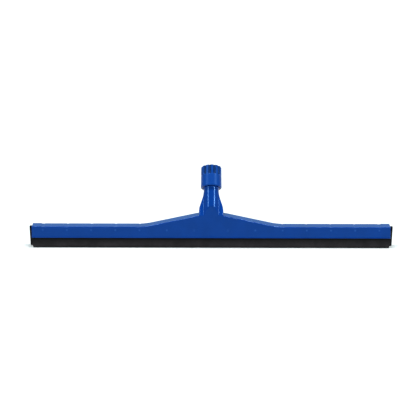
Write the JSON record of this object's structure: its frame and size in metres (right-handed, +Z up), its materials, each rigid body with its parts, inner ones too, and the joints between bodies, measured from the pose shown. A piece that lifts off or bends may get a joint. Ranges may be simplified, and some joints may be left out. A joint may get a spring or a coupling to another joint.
{
  "type": "floor squeegee head",
  "caption": "Floor squeegee head: a long plastic channel holds two foam rubber blades, under a leaning handle socket closed by a fluted clamp nut.",
  "frame": {"origin": "middle of the whole part's footprint, on the floor that both blades stand on", "axes": "+X along the blades, +Y from the front to the back, the way the handle leans, +Z up"},
  "size_m": [0.755, 0.077, 0.1688],
  "materials": {
    "frame_plastic": "gloss",
    "foam_rubber": "matte",
    "strip_plastic": "satin",
    "collet_plastic": "satin",
    "nut_plastic": "gloss"
  },
  "bodies": {
    "head": {"frame": "frame_plastic", "front_blade": "foam_rubber", "rear_blade": "foam_rubber", "retaining_strip": "strip_plastic"},
    "collet": {"grip_collet": "collet_plastic"},
    "nut": {"clamp_nut": "nut_plastic"}
  },
  "joints": [
    {"name": "collet_slide", "type": "slide", "parent": "head", "child": "collet", "axis": [0, 0.5, 0.866], "range_m": [-0.0031, 0.0201]},
    {"name": "nut_turn", "type": "hinge", "parent": "collet", "child": "nut", "pos_m": [0, 0.01013, 0.14036], "axis": [0, 0.5, 0.866], "range_deg": [-270, 1800]}
  ],
  "couplings": [
    {"joint": "collet_slide", "follows": "nut_turn", "m_per_rad": 0.00063662}
  ]
}
